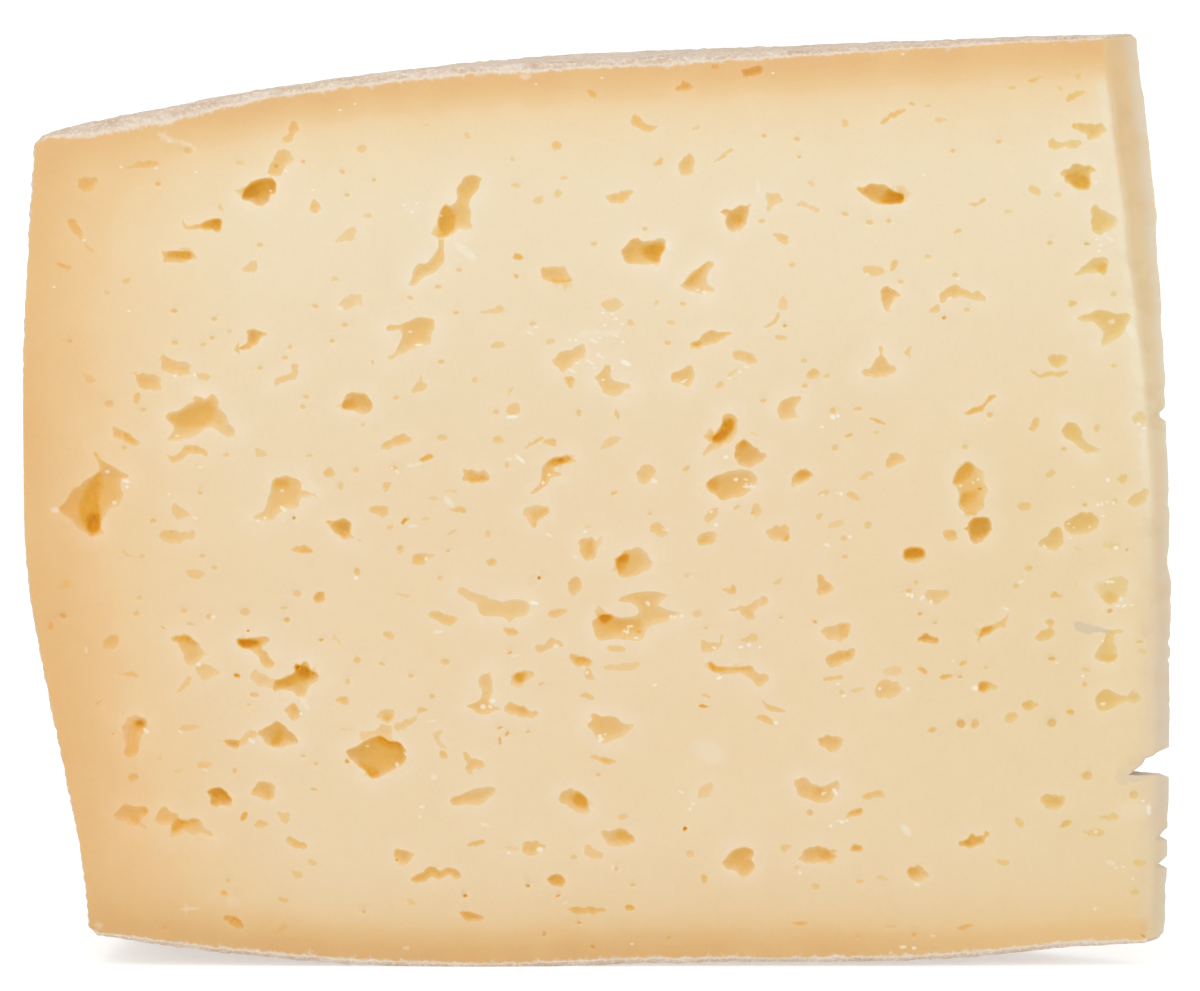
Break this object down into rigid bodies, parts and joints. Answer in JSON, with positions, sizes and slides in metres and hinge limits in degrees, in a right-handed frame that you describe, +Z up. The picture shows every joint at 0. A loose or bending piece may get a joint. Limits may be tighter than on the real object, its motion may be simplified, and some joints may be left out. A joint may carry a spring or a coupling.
{
  "type": "cheese wedge",
  "caption": "Tall wedge cut from a wheel of pressed semi-hard cheese: two flat cut faces with irregular eyes, thin blunt tip, domed top and underside, bulging rim.",
  "frame": {"origin": "centre of the bounding box's underside, on the surface the wedge rests on", "axes": "+Z up, +X along the front cut face from the rim to the thin tip, -Y the way the front cut face looks"},
  "size_m": [0.1708, 0.0814, 0.1393],
  "materials": {
    "cheese": "matte, slightly waxy"
  },
  "bodies": {
    "root": {"cheese_wedge": "cheese"}
  },
  "joints": []
}
